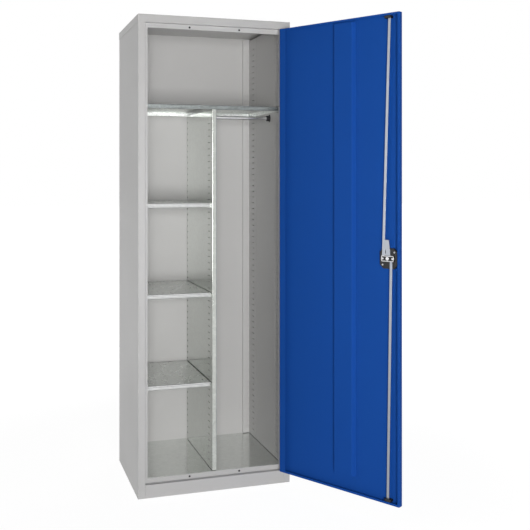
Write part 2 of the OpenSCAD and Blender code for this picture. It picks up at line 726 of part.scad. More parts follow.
left_side_panel();
right_side_panel();
back_panel();
top_panel();
header_rail();
plinth_rail();
floor_panel();
base_plate();
floor_bearer();
anchor_plates();
left_side_liner();
right_side_liner();
divider();
hat_shelf();
hat_shelf_rivets();
upper_half_shelf();
middle_half_shelf();
lower_half_shelf();
shelf_clips();
hanging_rail();
rail_sockets();
rail_screws();
door_buffers();
hinge_frame_leaves();
hinge_pins();
door_panel();
door_stiffener();
hinge_door_leaves();
lock_case();
case_screws();
lock_rose();
upper_rod_guide();
lower_rod_guide();
turning_knob();
spindle();
cam_plate();
cam_pins();
cam_screw();
key_plug();
upper_rod();
lower_rod();
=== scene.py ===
import json
import math

import bmesh
import bpy
from mathutils import Matrix, Vector


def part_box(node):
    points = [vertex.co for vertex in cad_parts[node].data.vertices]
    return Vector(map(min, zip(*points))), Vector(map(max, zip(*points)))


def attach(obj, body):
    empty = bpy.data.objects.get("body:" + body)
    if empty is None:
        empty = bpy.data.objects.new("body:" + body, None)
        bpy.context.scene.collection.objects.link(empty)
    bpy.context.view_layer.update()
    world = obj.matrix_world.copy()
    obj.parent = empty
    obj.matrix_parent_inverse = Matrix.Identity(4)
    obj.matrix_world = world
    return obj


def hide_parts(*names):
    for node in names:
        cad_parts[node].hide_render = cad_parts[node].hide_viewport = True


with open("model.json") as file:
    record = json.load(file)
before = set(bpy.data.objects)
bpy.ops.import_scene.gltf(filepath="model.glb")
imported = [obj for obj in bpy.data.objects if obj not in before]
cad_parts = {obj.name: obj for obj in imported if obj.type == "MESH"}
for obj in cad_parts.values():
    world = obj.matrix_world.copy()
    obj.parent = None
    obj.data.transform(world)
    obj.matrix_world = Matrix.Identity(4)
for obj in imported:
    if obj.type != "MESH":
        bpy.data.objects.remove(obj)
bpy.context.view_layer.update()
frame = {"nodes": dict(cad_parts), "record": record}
nodes = frame["nodes"]
mm = 0.001
sheet = 1 * mm            # thickness of the folded steel
samePoint = 0.002 * mm    # corners of a solid that lie closer than this are one
seamReach = 0.01 * mm     # the two skins of a sheet are joined within this
quarterTurn = math.radians(90)
print("frame loaded:", len(nodes), "nodes")


# links maps an input's name or number to a value or to another node's output
def setInputs(tree, node, links):
    for key, value in links.items():
        if isinstance(value, bpy.types.NodeSocket):
            tree.links.new(value, node.inputs[key])
        else:
            node.inputs[key].default_value = value
    return node


def addNode(tree, kind, links=None, **settings):
    made = tree.nodes.new(kind)
    for key, value in settings.items():
        setattr(made, key, value)
    return setInputs(tree, made, links or {})


# inputs are (name, kind, value) and outputs (name, kind)
def newGroup(name, treeKind, inputs, outputs):
    tree = bpy.data.node_groups.new(name, treeKind)
    for label, kind, value in inputs:
        socket = tree.interface.new_socket(label, in_out="INPUT", socket_type="NodeSocket" + kind)
        if value is not None:
            socket.default_value = value
    for label, kind in outputs:
        tree.interface.new_socket(label, in_out="OUTPUT", socket_type="NodeSocket" + kind)
    given = tree.nodes.new("NodeGroupInput").outputs
    return tree, given, tree.nodes.new("NodeGroupOutput").inputs


def newEffect(name, inputs, outputs):
    return newGroup(name, "ShaderNodeTree", [("Vector", "Vector", None)] + inputs, outputs)


def putOut(tree, result, **sockets):
    for label, socket in sockets.items():
        tree.links.new(socket, result[label])
    return tree


def maths(tree, operation, first, second=0.0, third=0.0):
    links = {0: first, 1: second, 2: third}
    return addNode(tree, "ShaderNodeMath", links, operation=operation).outputs[0]


# plus is added to the product
def product(tree, first, second, plus=0.0):
    return maths(tree, "MULTIPLY_ADD", first, second, plus)


def vectorMaths(tree, operation, first, second=(0, 0, 0), **more):
    links = {0: first, 1: second, **more}
    return addNode(tree, "ShaderNodeVectorMath", links, operation=operation).outputs[0]


def noise(tree, vector, scale, detail, roughness=0.5):
    links = {"Vector": vector, "Scale": scale, "Detail": detail, "Roughness": roughness}
    return addNode(tree, "ShaderNodeTexNoise", links).outputs


def ranged(tree, value, fromLow, fromHigh, toLow=0.0, **settings):
    links = {0: value, 1: fromLow, 2: fromHigh, 3: toLow}
    return addNode(tree, "ShaderNodeMapRange", links, **settings).outputs[0]


def mixColors(tree, mask, first, second):
    links = {"Factor": mask, 6: first, 7: second}
    return addNode(tree, "ShaderNodeMix", links, data_type="RGBA").outputs[2]


# effects that several finishes share, each one a shader node group

peelBroad = 0.22    # scale of the broad waves against that of the fine ones


def makeOrangePeel():
    tree, given, result = newEffect("orangePeel",
        [("Scale", "Float", 400.0), ("Flow", "Float", 0.4)], [("Height", "Float")])
    broadScale = product(tree, given["Scale"], peelBroad)
    fine = noise(tree, given["Vector"], given["Scale"], 2.0)
    broad = noise(tree, given["Vector"], broadScale, 1.0)
    mixed = product(tree, broad["Fac"], given["Flow"], fine["Fac"])
    return putOut(tree, result, Height=mixed)


def makeToneDrift():
    tree, given, result = newEffect("toneDrift", [("Color", "Color", (0.5, 0.5, 0.5, 1)),
        ("Scale", "Float", 4.0), ("Amount", "Float", 0.04)],
        [("Color", "Color"), ("Value", "Float")])
    cloud = noise(tree, given["Vector"], given["Scale"], 3.0)["Fac"]
    drift = product(tree, maths(tree, "SUBTRACT", cloud, 0.5), given["Amount"])
    gain = product(tree, drift, 2.0, 1.0)
    tinted = vectorMaths(tree, "SCALE", given["Color"], Scale=gain)
    return putOut(tree, result, Color=tinted, Value=cloud)


spangleSet = {
    "warpCells": 0.8, "warpReach": 0.004,    # how the walls of the cells waver
    "smallCells": 2.7, "smallShare": 0.35, "largeShare": 0.65,
    "polishMiddle": 0.4, "polishSpread": 0.35,
}


# zinc crystals: each cell has its own tone, polish and slight tilt
def makeSpangle():
    s = spangleSet
    tree, given, result = newEffect("zincSpangle",
        [("Color", "Color", (0.6, 0.6, 0.6, 1)), ("Cells", "Float", 120.0),
         ("Contrast", "Float", 0.3), ("Polish", "Float", 0.25), ("Tilt", "Float", 0.02)],
        [("Color", "Color"), ("Roughness", "Float"), ("Normal", "Vector")])
    warpScale = product(tree, given["Cells"], s["warpCells"])
    smallScale = product(tree, given["Cells"], s["smallCells"])
    warp = noise(tree, given["Vector"], warpScale, 2.0)["Color"]
    shove = vectorMaths(tree, "SCALE", warp, Scale=s["warpReach"])
    moved = vectorMaths(tree, "ADD", given["Vector"], shove)
    large, small = [addNode(tree, "ShaderNodeTexVoronoi", {"Vector": moved, "Scale": scale})
        .outputs["Color"] for scale in (given["Cells"], smallScale)]
    largeParts, fineParts = [addNode(tree, "ShaderNodeSeparateColor", {"Color": cells}).outputs
        for cells in (large, small)]
    tone = product(tree, fineParts[0], s["smallShare"],
        product(tree, largeParts[0], s["largeShare"]))
    gain = product(tree, maths(tree, "SUBTRACT", tone, 0.5), given["Contrast"], 1.0)
    tinted = vectorMaths(tree, "SCALE", given["Color"], Scale=gain)
    rough = product(tree, maths(tree, "SUBTRACT", largeParts[1], s["polishMiddle"]),
        product(tree, given["Contrast"], s["polishSpread"]), given["Polish"])
    centred = vectorMaths(tree, "SUBTRACT", large, (0.5, 0.5, 0.5))
    lean = vectorMaths(tree, "SCALE", centred, Scale=given["Tilt"])
    face = addNode(tree, "ShaderNodeNewGeometry").outputs["Normal"]
    unit = vectorMaths(tree, "NORMALIZE", vectorMaths(tree, "ADD", face, lean))
    return putOut(tree, result, Color=tinted, Roughness=rough, Normal=unit)


frontFade = 1.5 * mm    # depth over which the mask comes in


# marks what lies in front of a line across the depth, such as the lip of a shelf
def makeFrontMask():
    tree, given, result = newEffect("frontMask", [("Edge", "Float", -187 * mm)],
        [("Mask", "Float")])
    depth = addNode(tree, "ShaderNodeSeparateXYZ", {0: given["Vector"]}).outputs[1]
    beyond = maths(tree, "SUBTRACT", given["Edge"], depth)
    return putOut(tree, result, Mask=ranged(tree, beyond, 0.0, frontFade))


# fine lines left by rolling or grinding, along one direction of the coordinates
def makeGrindLines():
    tree, given, result = newEffect("grindLines",
        [("Stretch", "Vector", (1.0, 1.0, 0.02)), ("Scale", "Float", 1500.0)],
        [("Height", "Float")])
    drawn = vectorMaths(tree, "MULTIPLY", given["Vector"], given["Stretch"])
    return putOut(tree, result, Height=noise(tree, drawn, given["Scale"], 3.0)["Fac"])


dustSet = {
    "color": (0.55, 0.53, 0.5, 1), "dulling": 0.4, "upward": 3.0,
    "scale": 14.0, "detail": 5.0, "grain": 0.65, "from": 0.35, "to": 0.75, "least": 0.25,
}


# dust that settles on what faces up
def makeDustFilm():
    d = dustSet
    tree, given, result = newEffect("dustFilm",
        [("Color", "Color", (0.5, 0.5, 0.5, 1)), ("Roughness", "Float", 0.4),
         ("Amount", "Float", 0.15)],
        [("Color", "Color"), ("Roughness", "Float")])
    face = addNode(tree, "ShaderNodeNewGeometry").outputs["True Normal"]
    up = addNode(tree, "ShaderNodeSeparateXYZ", {0: face}).outputs[2]
    cloud = noise(tree, given["Vector"], d["scale"], d["detail"], d["grain"])["Fac"]
    patches = ranged(tree, cloud, d["from"], d["to"], d["least"])
    lying = maths(tree, "POWER", maths(tree, "MAXIMUM", up, 0.0), d["upward"])
    mask = product(tree, product(tree, lying, patches), given["Amount"])
    rough = product(tree, mask, d["dulling"], given["Roughness"])
    mixed = mixColors(tree, mask, given["Color"], d["color"])
    return putOut(tree, result, Color=mixed, Roughness=rough)


orangePeel = makeOrangePeel()
toneDrift = makeToneDrift()
zincSpangle = makeSpangle()
frontMask = makeFrontMask()
grindLines = makeGrindLines()
dustFilm = makeDustFilm()
finishes = {}


def newMaterial(name):
    material = bpy.data.materials.new(name)
    material.use_nodes = True
    finishes[name] = material
    tree = material.node_tree
    place = addNode(tree, "ShaderNodeTexCoord").outputs["Object"]
    return tree, tree.nodes["Principled BSDF"], place


def groupNode(tree, group, place, **links):
    links["Vector"] = place
    return addNode(tree, "ShaderNodeGroup", links, node_tree=group).outputs


# slight changes of tone, as the settings of the finish say
def drifted(tree, place, color, settings):
    return groupNode(tree, toneDrift, place, Color=color, Scale=settings["driftScale"],
        Amount=settings["drift"])


def bumpFrom(tree, height, strength, distance, **under):
    links = {"Height": height, "Strength": strength, "Distance": distance, **under}
    return addNode(tree, "ShaderNodeBump", links).outputs["Normal"]


enamelSet = {"driftScale": 3.5, "drift": 0.03, "roughSpread": 0.08,
    "peelScale": 330.0, "peelFlow": 0.7, "peelHeight": 0.08 * mm}


# baked enamel on sheet steel: slight tone drift, orange peel, dust on top
def enamel(name, color, rough, peel, specular, dust):
    e = enamelSet
    tree, shader, place = newMaterial(name)
    drift = drifted(tree, place, color, e)
    roughness = product(tree, drift["Value"], e["roughSpread"], rough - e["roughSpread"] / 2)
    film = groupNode(tree, dustFilm, place, Color=drift["Color"], Roughness=roughness,
        Amount=dust)
    skin = groupNode(tree, orangePeel, place, Scale=e["peelScale"], Flow=e["peelFlow"])["Height"]
    setInputs(tree, shader, {"Base Color": film["Color"], "Roughness": film["Roughness"],
        "Normal": bumpFrom(tree, skin, peel, e["peelHeight"]), "Specular IOR Level": specular})


zincSet = {"driftScale": 6.0, "drift": 0.05, "dust": 0.05,
    "stretch": (1.0, 1.0, 0.03), "lineScale": 900.0, "lineBump": 0.05, "lineHeight": 0.05 * mm}


# zinc coated sheet; front is the tone and polish in front of a line across the depth
def galvanised(name, color, cells, contrast, polish, tilt, front=None):
    z = zincSet
    tree, shader, place = newMaterial(name)
    if front:
        frontColor, frontPolish, edge = front
        mask = groupNode(tree, frontMask, place, Edge=edge)["Mask"]
        color = mixColors(tree, mask, color, frontColor)
        polish = product(tree, mask, frontPolish - polish, polish)
    drift = drifted(tree, place, color, z)
    zinc = groupNode(tree, zincSpangle, place, Color=drift["Color"], Cells=cells,
        Contrast=contrast, Polish=polish, Tilt=tilt)
    film = groupNode(tree, dustFilm, place, Color=zinc["Color"], Roughness=zinc["Roughness"],
        Amount=z["dust"])
    lines = groupNode(tree, grindLines, place, Stretch=z["stretch"],
        Scale=z["lineScale"])["Height"]
    bump = bumpFrom(tree, lines, z["lineBump"], z["lineHeight"], Normal=zinc["Normal"])
    setInputs(tree, shader, {"Base Color": film["Color"], "Roughness": film["Roughness"],
        "Normal": bump, "Metallic": 1.0})


steelSet = {"driftScale": 60.0, "drift": 0.1, "lineScale": 2200.0, "roughSpread": 0.2,
    "lineBump": 0.15, "lineHeight": 0.03 * mm}


# zinc or nickel plated steel with lines drawn along one direction
def platedSteel(name, color, rough, stretch):
    s = steelSet
    tree, shader, place = newMaterial(name)
    drift = drifted(tree, place, color, s)
    lines = groupNode(tree, grindLines, place, Stretch=stretch, Scale=s["lineScale"])["Height"]
    roughness = product(tree, lines, s["roughSpread"], rough - s["roughSpread"] / 2)
    bump = bumpFrom(tree, lines, s["lineBump"], s["lineHeight"])
    setInputs(tree, shader, {"Base Color": drift["Color"], "Roughness": roughness,
        "Normal": bump, "Metallic": 1.0})


plasticSet = {"driftScale": 40.0, "drift": 0.12, "flow": 0.5, "roughSpread": 0.12,
    "smoothing": 0.08, "grainBump": 0.25, "grainHeight": 0.06 * mm}


def mouldedPlastic(name, color, rough, grain, specular):
    p = plasticSet
    tree, shader, place = newMaterial(name)
    drift = drifted(tree, place, color, p)
    pebble = groupNode(tree, orangePeel, place, Scale=grain, Flow=p["flow"])["Height"]
    roughness = product(tree, pebble, p["roughSpread"], rough - p["smoothing"])
    bump = bumpFrom(tree, pebble, p["grainBump"], p["grainHeight"])
    setInputs(tree, shader, {"Base Color": drift["Color"], "Roughness": roughness,
        "Normal": bump, "Specular IOR Level": specular})


# colour, roughness, peel, specular, dust
enamel("greyEnamel", (0.500, 0.494, 0.486, 1), 0.30, 0.20, 0.35, 0.06)
enamel("blueEnamel", (0.0100, 0.071, 0.335, 1), 0.44, 0.20, 0.03, 0.01)
# colour, cells, contrast, roughness, tilt
galvanised("brightZinc", (0.62, 0.64, 0.62, 1), 110.0, 0.16, 0.28, 0.01,
    front=((0.40, 0.405, 0.40, 1), 0.58, -187 * mm))
# hat shelf: behind the dark lip the sheet gets a far lighter tone than zinc has, a painted
# highlight standing in for the bright reflection under the shelf
galvanised("spangledZincPaintedHighlight", (0.80, 0.82, 0.80, 1), 110.0, 0.5, 0.42, 0.03,
    front=((0.190, 0.207, 0.205, 1), 0.36, -187 * mm))
galvanised("mirrorZinc", (0.53, 0.55, 0.52, 1), 70.0, 0.14, 0.15, 0.006,
    front=((0.485, 0.502, 0.477, 1), 0.15, -203 * mm))
galvanised("plateZinc", (0.71, 0.73, 0.71, 1), 70.0, 0.14, 0.17, 0.006)
# colour, roughness, direction of the lines
platedSteel("railSteel", (0.62, 0.62, 0.63, 1), 0.22, (0.02, 1.0, 1.0))
platedSteel("plate", (0.58, 0.58, 0.59, 1), 0.30, (1.0, 1.0, 0.1))
platedSteel("rodSteel", (0.33, 0.35, 0.39, 1), 0.38, (1.0, 1.0, 0.02))
platedSteel("nickel", (0.66, 0.65, 0.62, 1), 0.16, (1.0, 0.1, 1.0))
# colour, roughness, grain, specular
mouldedPlastic("blackPlastic", (0.010, 0.010, 0.011, 1), 0.42, 1400.0, 0.35)
mouldedPlastic("rubber", (0.012, 0.012, 0.012, 1), 0.75, 900.0, 0.3)
print("finishes made:", len(finishes))

# what the frame says about each node

low, high = 0, 1
plateGap = 0.4 * mm    # between the base plate and what stands round it


# the corner of a node's box: side is low or high, axis is 0, 1 or 2
def edgeOf(node, side, axis):
    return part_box(node)[side][axis]


record = frame["record"]
bodies = record["behaviour"]["bodies"]
bodyOf = {node: body for body, names in bodies.items() for node in names}
slotOf = {part["node"]: part["material_slot"] for part in record["subparts"]}
joints = {joint["name"]: joint for joint in record["behaviour"]["joints"]}
hingePlace = Vector(joints["door_hinge"]["pos_m"])
lockPlace = Vector(joints["handle_turn"]["pos_m"])
lockAxis = Vector(joints["handle_turn"]["axis"])      # out of the front of the door
restOpen = math.atan2(lockAxis.x, -lockAxis.y)
wallX = abs(edgeOf("hat_shelf", high, 0))             # inner face of the liners
cornerY = edgeOf("base_plate", high, 1) + plateGap    # front of their corner flanges


# turns a point of the closed door to where the open door stands
def onDoor(point, angle=restOpen):
    return hingePlace + Matrix.Rotation(angle, 4, "Z") @ (Vector(point) - hingePlace)


# reads a point of the open door as on the closed one
def offDoor(point):
    return onDoor(point, -restOpen)


lockMiddle = offDoor(lockPlace)      # its y is the face of the closed door


def newObject(name, data):
    made = bpy.data.objects.new(name, data)
    bpy.context.scene.collection.objects.link(made)
    return made


def newMesh(name, verts, edges=(), faces=()):
    mesh = bpy.data.meshes.new(name)
    mesh.from_pydata([tuple(vert) for vert in verts], edges, faces)
    return mesh


def meshOf(name, work):
    mesh = bpy.data.meshes.new(name)
    work.to_mesh(mesh)
    work.free()
    return mesh


def workOn(mesh):
    work = bmesh.new()
    work.from_mesh(mesh)
    return work


def weldedCopy(node):
    work = workOn(nodes[node].data)
    bmesh.ops.remove_doubles(work, verts=work.verts, dist=samePoint)
    return work


def outwardMesh(mesh):
    work = workOn(mesh)
    bmesh.ops.recalc_face_normals(work, faces=work.faces)
    if work.calc_volume(signed=True) < 0:
        bmesh.ops.reverse_faces(work, faces=work.faces)
    work.to_mesh(mesh)
    work.free()
    return mesh


# a mesh of what an object's modifiers make of it; the object itself goes
def evaluatedMesh(holder):
    bpy.context.view_layer.update()
    ready = holder.evaluated_get(bpy.context.evaluated_depsgraph_get())
    plain = bpy.data.meshes.new_from_object(ready)
    bpy.data.objects.remove(holder)
    return plain


# closes a stack of rings, all with the same number of points, into a mesh
def stackedMesh(name, rings):
    count = len(rings[0])
    verts = [point for ring in rings for point in ring]
    last = len(verts) - count
    faces = []
    for start in range(0, last, count):
        for k in range(count):
            here, beside = start + k, start + (k + 1) % count
            faces.append([here, beside, beside + count, here + count])
    faces += [list(range(count)), list(range(last, last + count))]
    return outwardMesh(newMesh(name, verts, faces=faces))


# gives a finished piece its finish and ties it to the body of the nodes it stands for
def dress(piece, finish, *names, body=None, slot=None):
    piece.data.materials.clear()
    piece.data.materials.append(finishes[finish])
    for polygon in piece.data.polygons:
        polygon.material_index = 0
    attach(piece, body or bodyOf[names[0]])
    if names:
        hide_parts(*names)
    return piece


smoothSet = {"angle": 32, "fastenerAngle": 40, "weight": 60}


# edges sharper than the angle, in degrees, stay sharp
def smoothOver(piece, angle=smoothSet["angle"]):
    piece.data.shade_smooth()
    piece.data.set_sharp_from_angle(angle=math.radians(angle))
    weigh = piece.modifiers.new("weigh", "WEIGHTED_NORMAL")
    weigh.keep_sharp = True
    weigh.weight = smoothSet["weight"]


def addPiece(name, mesh, finish, *names, angle=smoothSet["angle"], **ties):
    smoothOver(dress(newObject(name, mesh), finish, *names, **ties), angle)


# geometry node trees for folded sheet, slots and fasteners

def newTree(name, inputs):
    return newGroup(name, "GeometryNodeTree",
        [("Geometry", "Geometry", None)] + inputs + [("Finish", "Material", None)],
        [("Geometry", "Geometry")])


# adds a geometry node and hands on its first output
def shapeNode(tree, kind, links, **settings):
    return addNode(tree, "GeometryNode" + kind, links, **settings).outputs[0]


def vectorOf(tree, **parts):
    return addNode(tree, "ShaderNodeCombineXYZ", parts).outputs[0]


# gives a surface a thickness along its normals and closes it
def thickened(tree, surface, amount):
    outer = shapeNode(tree, "ExtrudeMesh",
        {"Mesh": surface, "Offset Scale": amount, "Individual": False}, mode="FACES")
    inner = shapeNode(tree, "FlipFaces", {"Mesh": surface})
    both = addNode(tree, "GeometryNodeJoinGeometry")
    tree.links.new(outer, both.inputs[0])
    tree.links.new(inner, both.inputs[0])
    return shapeNode(tree, "MergeByDistance",
        {"Geometry": both.outputs[0], "Distance": seamReach})


def finished(tree, shape, given, result):
    real = shapeNode(tree, "RealizeInstances", {"Geometry": shape})
    colored = shapeNode(tree, "SetMaterial", {"Geometry": real, "Material": given["Finish"]})
    return putOut(tree, result, Geometry=colored)


# a line of edges becomes a folded sheet: its bends rounded, drawn out, thickened to its left
def makeFoldedSheet():
    tree, given, result = newTree("foldedSheet", [("Run", "Vector", (0, 0, 1)),
        ("Thickness", "Float", sheet), ("Bend Radius", "Float", 1.5 * mm)])
    line = shapeNode(tree, "MeshToCurve", {"Mesh": given["Geometry"]})
    bent = shapeNode(tree, "FilletCurve", {"Curve": line, "Radius": given["Bend Radius"],
        "Count": 5, "Limit Radius": True}, mode="POLY")
    edges = shapeNode(tree, "CurveToMesh", {"Curve": bent})
    drawn = shapeNode(tree, "ExtrudeMesh",
        {"Mesh": edges, "Offset": given["Run"], "Offset Scale": 1.0}, mode="EDGES")
    return finished(tree, thickened(tree, drawn, given["Thickness"]), given, result)


slotCorner = 0.42    # radius of a slot's corners as a share of its height


# cuts a column of slots with rounded corners through what it is given
def makeSlotColumn():
    tree, given, result = newTree("slotColumn", [("First", "Vector", (0, 0, 0)),
        ("Pitch", "Float", 25 * mm), ("Count", "Int", 10), ("Slot Length", "Float", 20 * mm),
        ("Slot Height", "Float", 4 * mm), ("Depth", "Float", 6 * mm), ("Turn", "Float", 0.0)])
    outline = shapeNode(tree, "CurvePrimitiveQuadrilateral",
        {"Width": given["Slot Length"], "Height": given["Slot Height"]})
    cornerRadius = product(tree, given["Slot Height"], slotCorner)
    rounded = shapeNode(tree, "FilletCurve",
        {"Curve": outline, "Radius": cornerRadius, "Count": 3, "Limit Radius": True}, mode="POLY")
    face = shapeNode(tree, "FillCurve", {"Curve": rounded}, mode="NGONS")
    cutter = thickened(tree, face, given["Depth"])
    back = vectorOf(tree, Z=product(tree, given["Depth"], -0.5))
    centred = shapeNode(tree, "SetPosition", {"Geometry": cutter, "Offset": back})
    column = shapeNode(tree, "MeshLine", {"Count": given["Count"],
        "Start Location": given["First"], "Offset": vectorOf(tree, Z=given["Pitch"])},
        mode="OFFSET")
    cutters = shapeNode(tree, "InstanceOnPoints", {"Points": column, "Instance": centred,
        "Rotation": vectorOf(tree, X=quarterTurn, Z=given["Turn"])})
    loose = shapeNode(tree, "RealizeInstances", {"Geometry": cutters})
    pierced = shapeNode(tree, "MeshBoolean", {"Mesh 1": given["Geometry"], "Mesh 2": loose},
        operation="DIFFERENCE", solver="MANIFOLD")
    return finished(tree, pierced, given, result)


# one fastener on every point, along the point's aim and twisted at random
def makeFastenersAt():
    tree, given, result = newTree("fastenersAt",
        [("Fastener", "Object", None), ("Seed", "Int", 1)])
    shape = addNode(tree, "GeometryNodeObjectInfo", {"Object": given["Fastener"]})
    aim = shapeNode(tree, "InputNamedAttribute", {"Name": "aim"}, data_type="FLOAT_VECTOR")
    facing = addNode(tree, "FunctionNodeAlignRotationToVector", {"Vector": aim}, axis="Z")
    twist = addNode(tree, "FunctionNodeRandomValue",
        {2: 0.0, 3: math.tau, "Seed": given["Seed"]}, data_type="FLOAT")
    spin = addNode(tree, "FunctionNodeAxisAngleToRotation",
        {"Axis": (0, 0, 1), "Angle": twist.outputs[1]})
    both = addNode(tree, "FunctionNodeRotateRotation",
        {"Rotation": facing.outputs[0], "Rotate By": spin.outputs[0]}, rotation_space="LOCAL")
    placed = shapeNode(tree, "InstanceOnPoints", {"Points": given["Geometry"],
        "Instance": shape.outputs["Geometry"], "Rotation": both.outputs[0]})
    return finished(tree, placed, given, result)


foldedSheet = makeFoldedSheet()
slotColumn = makeSlotColumn()
fastenersAt = makeFastenersAt()
print("node trees made:", len(bpy.data.node_groups))


# runs a mesh through a stack of (tree, inputs) and returns the plain mesh that comes out
def throughTrees(name, mesh, stack):
    holder = newObject(name, mesh)
    for tree, values in stack:
        step = holder.modifiers.new(tree.name, "NODES")
        step.node_group = tree
        sockets = {item.name: item.identifier for item in tree.interface.items_tree
            if item.in_out == "INPUT"}
        for label, value in values.items():
            step[sockets[label]] = value
    plain = evaluatedMesh(holder)
    plain.name = name
    return outwardMesh(plain)


def folded(name, points, run, finish, radius, closed=False, slots=()):
    edges = [(k, k + 1) for k in range(len(points) - 1)]
    if closed:
        edges.append((len(points) - 1, 0))
    steel = {"Finish": finishes[finish]}
    stack = [(foldedSheet, {"Run": run, "Thickness": sheet, "Bend Radius": radius, **steel})]
    stack += [(slotColumn, {**column, **steel}) for column in slots]
    return throughTrees(name, newMesh(name + "Line", points, edges), stack)


# liners: slotted inner walls with a flange in the rear corner

linerSet = {
    "frontReturn": 10 * mm, "bend": 1.8 * mm,
    "pitch": 25 * mm, "firstSlot": 100 * mm, "topMargin": 30 * mm,
    "wallSlot": (28 * mm, 2.6 * mm), "cornerSlot": (12 * mm, 4.5 * mm),   # length and height
    "frontSlotY": -156 * mm, "rearSlotY": 160.5 * mm, "cornerSlotIn": 8.5 * mm,
    "creases": (-125 * mm, 113 * mm), "creaseDepth": 1 * mm, "creaseHalf": 1.8 * mm,
    "footGap": 2.2 * mm, "headGap": 2.5 * mm,      # how far it stops short of its solid's ends
}


def slotCount(top, margin):
    return int((top - margin - linerSet["firstSlot"]) / linerSet["pitch"]) + 1


# a column of slots; those in a sheet that faces along X turn by a quarter
def slotsAt(x, y, size, turn, count):
    return {"First": (x, y, linerSet["firstSlot"]), "Pitch": linerSet["pitch"], "Count": count,
        "Slot Length": size[0], "Slot Height": size[1], "Turn": turn}


def makeLiner(side):
    s = linerSet
    node = "right_side_liner" if side > 0 else "left_side_liner"
    flangeX = min(abs(edgeOf(node, low, 0)), abs(edgeOf(node, high, 0)))
    frontY, backY = edgeOf(node, low, 1) + sheet, edgeOf(node, high, 1)
    bottom = edgeOf("base_plate", high, 2) + s["footGap"]
    top = edgeOf(node, high, 2) - s["headGap"]
    plan = [(wallX - s["frontReturn"], frontY), (wallX, frontY)]
    for y in s["creases"]:
        plan += [(wallX, y - s["creaseHalf"]), (wallX + s["creaseDepth"], y),
            (wallX, y + s["creaseHalf"])]
    plan += [(wallX, cornerY), (flangeX, cornerY), (flangeX, backY)]
    if side > 0:
        plan.reverse()
    line = [(side * x, y, bottom) for x, y in plan]
    count = slotCount(top, s["topMargin"])
    columns = [slotsAt(side * wallX, y, s["wallSlot"], quarterTurn, count)
        for y in (s["frontSlotY"], s["rearSlotY"])]
    columns.append(
        slotsAt(side * (wallX - s["cornerSlotIn"]), cornerY, s["cornerSlot"], 0.0, count))
    name = node + "Sheet"
    mesh = folded(name, line, (0, 0, top - bottom), "greyEnamel", s["bend"], slots=columns)
    addPiece(name, mesh, "greyEnamel", node)


makeLiner(-1)
makeLiner(1)
print("liners folded")

# divider: a slotted box section

dividerSet = {
    "bend": 1.0 * mm, "topMargin": 12 * mm, "footGap": 2.2 * mm,
    "frontSlot": (22 * mm, 2.2 * mm), "rearSlot": (13 * mm, 5 * mm), "rearSlotIn": 9.5 * mm,
}


def makeDivider():
    d = dividerSet
    (left, front, foot), (right, back, top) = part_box("divider")
    bottom = foot + d["footGap"]
    line = [(left + sheet, front + sheet, bottom), (left + sheet, back - sheet, bottom),
        (right - sheet, back - sheet, bottom), (right - sheet, front + sheet, bottom)]
    count = slotCount(top, d["topMargin"])
    columns = [slotsAt(left, y, size, quarterTurn, count) for y, size in
        ((linerSet["frontSlotY"], d["frontSlot"]), (cornerY - d["rearSlotIn"], d["rearSlot"]))]
    mesh = folded("dividerBox", line, (0, 0, top - bottom), "mirrorZinc", d["bend"],
        closed=True, slots=columns)
    addPiece("dividerBox", mesh, "mirrorZinc", "divider")


makeDivider()
print("divider folded")

# shelves: a deck folded down at its ends, with a lip folded down and back along front and rear

shelfSet = {
    "bend": 2.6 * mm, "returnDepth": 8 * mm, "notch": 2.8 * mm,
    "swageDepth": 1.2 * mm, "swageFrom": 5 * mm, "swageSlope": 1.2 * mm,   # hollow along the lip
}


def makeShelf(node, finish, name):
    s = shelfSet
    (x0, front, bottom), (x1, back, top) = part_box(node)
    notch, swage = s["notch"], s["swageFrom"]
    inner = swage + s["swageSlope"]
    ends = [(x0, front + notch, bottom + sheet), (x0, front + notch, top),
        (x1, front + notch, top), (x1, front + notch, bottom + sheet)]
    work = workOn(folded(name + "Deck", ends, (0, back - front - 2 * notch, 0), finish, s["bend"]))
    for edge, inward in ((front, 1), (back, -1)):
        sunk = edge + inward * s["swageDepth"]
        side = [(edge + inward * notch, top), (edge, top), (edge, top - swage),
            (sunk, top - inner), (sunk, bottom + inner), (edge, bottom + swage),
            (edge, bottom), (edge + inward * s["returnDepth"], bottom)]
        lip = [(x0 + notch, y, z) for y, z in side]
        if inward < 0:
            lip.reverse()
        work.from_mesh(folded(name + "Lip", lip, (x1 - x0 - 2 * notch, 0, 0), finish, s["bend"]))
    addPiece(name, meshOf(name, work), finish, node)


makeShelf("hat_shelf", "spangledZincPaintedHighlight", "hatShelf")
makeShelf("upper_half_shelf", "brightZinc", "upperHalfShelf")
makeShelf("middle_half_shelf", "brightZinc", "middleHalfShelf")
makeShelf("lower_half_shelf", "brightZinc", "lowerHalfShelf")
print("shelves folded")

# parts whose folds and edges are rounded on a merged copy of the solid

foldSet = {"flatAngle": math.radians(0.6), "foldAngle": math.radians(28)}


def isThin(face, limit):
    around = face.calc_perimeter()
    return around > 0 and 2 * face.calc_area() / around < limit


# outer is the radius outside a fold, inner the one inside; faces thinner than thin stay sharp
def softened(node, finish, outer, inner, thin=0.0, segments=3):
    work = weldedCopy(node)
    bmesh.ops.dissolve_limit(work, angle_limit=foldSet["flatAngle"], verts=work.verts,
        edges=work.edges)
    weight = work.edges.layers.float.new("bevel_weight_edge")
    for edge in work.edges:
        if len(edge.link_faces) != 2 or edge.calc_face_angle(0.0) < foldSet["foldAngle"]:
            continue
        if thin and any(isThin(face, thin) for face in edge.link_faces):
            continue
        edge[weight] = 1.0 if edge.is_convex else inner / outer
    name = node + "Soft"
    piece = newObject(name, meshOf(name, work))
    bevel = piece.modifiers.new("bevel", "BEVEL")
    bevel.width = outer
    bevel.segments = segments
    bevel.limit_method = "WEIGHT"
    bevel.use_clamp_overlap = False
    bevel.miter_outer = "MITER_ARC"
    smoothOver(dress(piece, finish, node))


